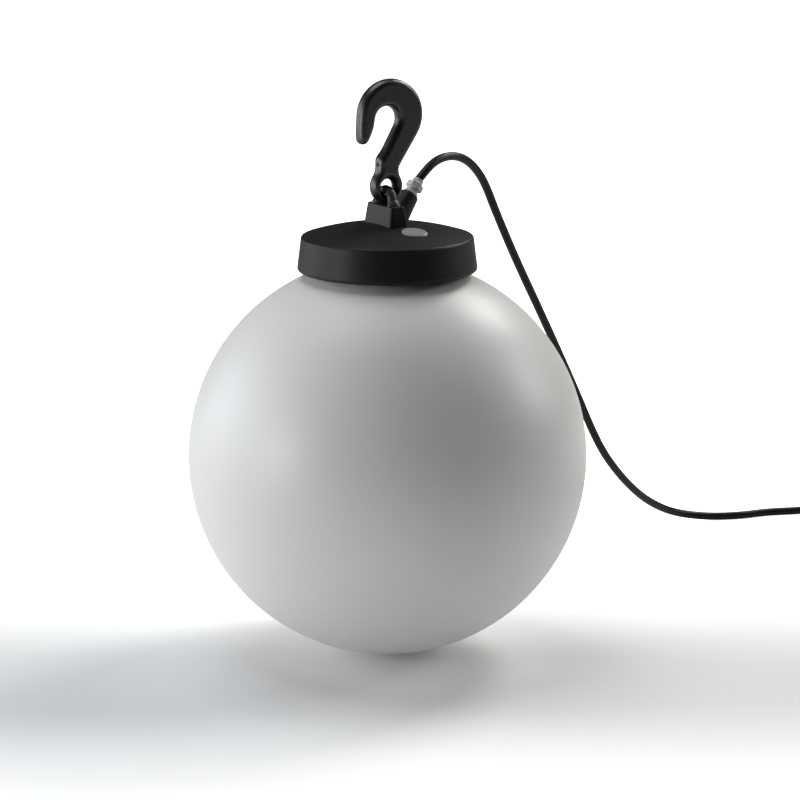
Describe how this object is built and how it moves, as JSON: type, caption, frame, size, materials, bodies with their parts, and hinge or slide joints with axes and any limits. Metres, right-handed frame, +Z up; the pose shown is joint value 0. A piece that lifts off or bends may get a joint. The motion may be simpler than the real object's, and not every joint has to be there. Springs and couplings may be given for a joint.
{
  "type": "globe garden light",
  "caption": "Opal globe garden light with a domed black cap, a pivoting eye hook on a lifting bow, a push button, a cable gland and a long cord with a plug.",
  "frame": {"origin": "centre of the globe's standing ring, on the surface it stands on", "axes": "+Z up through the globe and the cap, +X to the right of the light as it is seen with the cord leaving to the right, +Y away from the viewer"},
  "size_m": [0.6359, 0.564, 0.435],
  "materials": {
    "cap_plastic": "satin moulded, fine grain",
    "bow_steel": "dark satin coating",
    "zinc_steel": "zinc plated",
    "hook_steel": "satin black coating",
    "gland_nylon": "translucent grey nylon",
    "black_rubber": "moulded",
    "grey_rubber": "moulded",
    "cord_rubber": "satin sheath",
    "button_plastic": "satin grey",
    "inner_black": "moulded",
    "opal_globe": "opal white, fine satin",
    "holder_brass": "pressed",
    "bulb_nickel": "nickel plated",
    "bulb_solder": "tinned",
    "bulb_white": "white satin",
    "bulb_opal": "opal",
    "board_aluminium": "white solder resist",
    "led_yellow": "phosphor",
    "board_green": "laminate",
    "terminal_nylon": "natural nylon",
    "wire_brown": "insulation",
    "wire_blue": "insulation",
    "wire_black": "insulation",
    "tie_fabric": "woven hook and loop",
    "plug_rubber": "moulded",
    "plug_plastic": "moulded"
  },
  "bodies": {
    "head": {"cap_housing": "cap_plastic", "lifting_bow": "bow_steel", "bow_plate": "zinc_steel", "bow_nuts": "zinc_steel", "gland_nut": "gland_nylon", "gland_seal": "black_rubber", "cord_inner_end": "cord_rubber", "button_boot": "grey_rubber", "switch_body": "inner_black", "neck_ring": "cap_plastic", "neck_gasket": "black_rubber", "ring_screws": "zinc_steel", "holder_bracket": "zinc_steel", "bracket_screws": "zinc_steel", "holder_nipple": "zinc_steel", "nipple_nut": "zinc_steel", "holder_body": "inner_black", "holder_shell": "holder_brass", "holder_contact": "holder_brass", "terminal_block": "terminal_nylon", "terminal_screws": "zinc_steel", "live_wires": "wire_brown", "neutral_wires": "wire_blue", "switched_wire": "wire_black", "mains_cord": "cord_rubber", "cord_coil": "cord_rubber", "cord_tail": "cord_rubber", "coil_tie": "tie_fabric", "plug_body": "plug_rubber", "plug_insert": "plug_plastic", "plug_pins": "holder_brass"},
    "globe": {"globe_diffuser": "opal_globe"},
    "hook_arm": {"hook": "hook_steel"},
    "button": {"push_button": "button_plastic"},
    "bulb_seat": {"bulb_contact": "bulb_solder"},
    "bulb": {"bulb_screw_cap": "bulb_nickel", "bulb_insulator": "inner_black", "bulb_housing": "bulb_white", "bulb_dome": "bulb_opal", "led_board": "board_aluminium", "led_chips": "led_yellow", "driver_board": "board_green"}
  },
  "joints": [
    {"name": "globe_turn", "type": "hinge", "parent": "head", "child": "globe", "pos_m": [0, 0, 0.301], "axis": [0, 0, 1], "range_deg": [0, 40]},
    {"name": "hook_tilt", "type": "hinge", "parent": "head", "child": "hook_arm", "pos_m": [-0.00102, -0.00064, 0.3552], "axis": [-0.5299, 0.848, 0], "range_deg": [-90, 90]},
    {"name": "button_press", "type": "slide", "parent": "head", "child": "button", "axis": [-0.0954, 0.1351, -0.9862], "range_m": [0, 0.0015], "stiffness_N_per_m": 900, "springref_m": -0.001, "deforming": ["button_boot"]},
    {"name": "bulb_travel", "type": "slide", "parent": "head", "child": "bulb_seat", "axis": [0, 0, -1], "range_m": [0, 0.0198]},
    {"name": "bulb_turn", "type": "hinge", "parent": "bulb_seat", "child": "bulb", "pos_m": [0, 0, 0.28], "axis": [0, 0, -1], "range_deg": [0, 1980]}
  ],
  "couplings": [
    {"joint": "bulb_travel", "follows": "bulb_turn", "m_per_rad": 0.000573}
  ]
}
